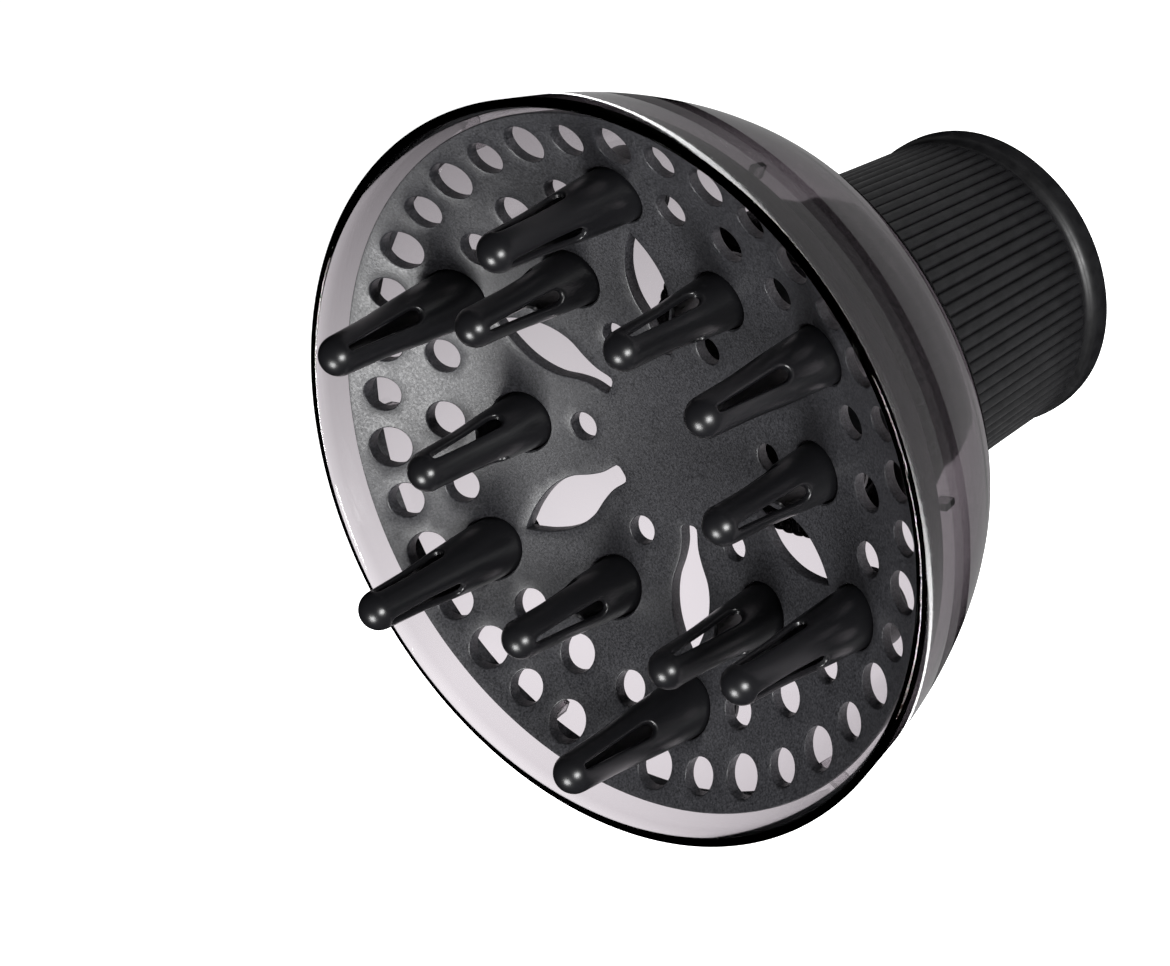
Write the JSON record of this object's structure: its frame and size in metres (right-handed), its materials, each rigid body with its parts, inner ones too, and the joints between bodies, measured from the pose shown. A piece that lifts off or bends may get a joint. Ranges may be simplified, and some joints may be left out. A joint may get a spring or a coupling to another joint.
{
  "type": "hair dryer diffuser",
  "caption": "Hair dryer diffuser: clear smoked bowl, perforated dished front plate with hollow slotted fingers, ribbed rubber sleeve for the nozzle.",
  "frame": {"origin": "centre of the sleeve's open end, on which the diffuser stands", "axes": "+Z along the axis of symmetry, from the dryer towards the hair; +X through the first inner finger"},
  "size_m": [0.1658, 0.1658, 0.1585],
  "materials": {
    "smoked_clear": "clear smoked plastic, polished",
    "graphite_plastic": "fine moulded grain, low sheen",
    "black_satin_plastic": "satin black",
    "black_rubber": "matte, moulded ribs"
  },
  "bodies": {
    "bowl": {"bowl_shell": "smoked_clear"},
    "front": {"finger_plate": "graphite_plastic", "finger_01": "black_satin_plastic", "finger_02": "black_satin_plastic", "finger_03": "black_satin_plastic", "finger_04": "black_satin_plastic", "finger_05": "black_satin_plastic", "finger_06": "black_satin_plastic", "finger_07": "black_satin_plastic", "finger_08": "black_satin_plastic", "finger_09": "black_satin_plastic", "finger_10": "black_satin_plastic", "finger_11": "black_satin_plastic", "finger_12": "black_satin_plastic"},
    "adapter": {"adapter_sleeve": "black_rubber"}
  },
  "joints": [
    {"name": "front_lift", "type": "slide", "parent": "bowl", "child": "front", "axis": [0, 0, 1], "range_m": [0, 0.035]},
    {"name": "sleeve_pull", "type": "slide", "parent": "bowl", "child": "adapter", "axis": [0, 0, -1], "range_m": [0, 0.03]}
  ]
}
